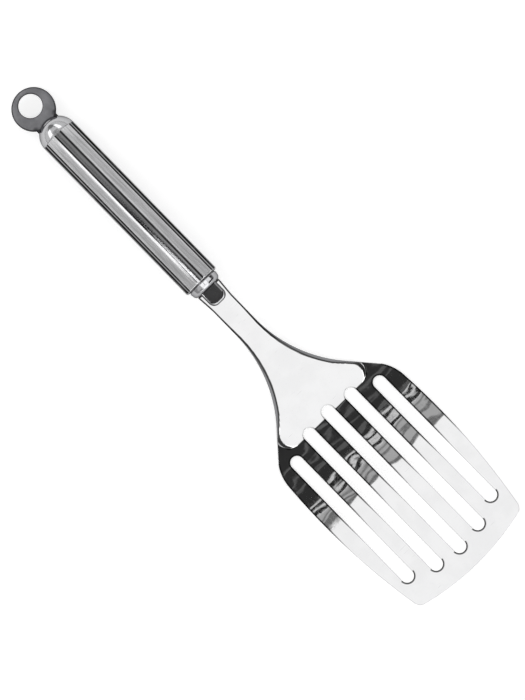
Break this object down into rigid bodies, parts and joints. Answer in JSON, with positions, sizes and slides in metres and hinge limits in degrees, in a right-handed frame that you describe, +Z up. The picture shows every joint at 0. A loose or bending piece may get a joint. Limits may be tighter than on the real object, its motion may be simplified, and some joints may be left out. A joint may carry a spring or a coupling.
{
  "type": "fish spatula",
  "caption": "Slotted kitchen turner: a polished steel blade with round-ended slots and a sloping, flared neck, on a fluted hollow handle with a domed end and a hanging eye.",
  "frame": {"origin": "middle of the bounding box in X and Y, on the table that the tool rests on", "axes": "+X runs from the hanging eye along the tool to the blade's tip, +Y is to the left across the blade seen from the handle, +Z is up from the table; the tool lies on the handle's dome and the blade's heel"},
  "size_m": [0.3294, 0.0832, 0.0264],
  "materials": {
    "blade": "mirror polished stainless steel sheet with brushed undersides of the bends",
    "tang_bar": "plain polished stainless steel bar",
    "front_collar": "mirror polished stainless steel",
    "handle_tube": "lengthwise brushed stainless steel lands with polished flutes",
    "end_dome": "mirror polished stainless steel",
    "hanging_eye": "dull blasted stainless steel plate"
  },
  "bodies": {
    "root": {"blade": "blade", "tang_bar": "tang_bar", "front_collar": "front_collar", "handle_tube": "handle_tube", "end_dome": "end_dome", "hanging_eye": "hanging_eye"}
  },
  "joints": []
}
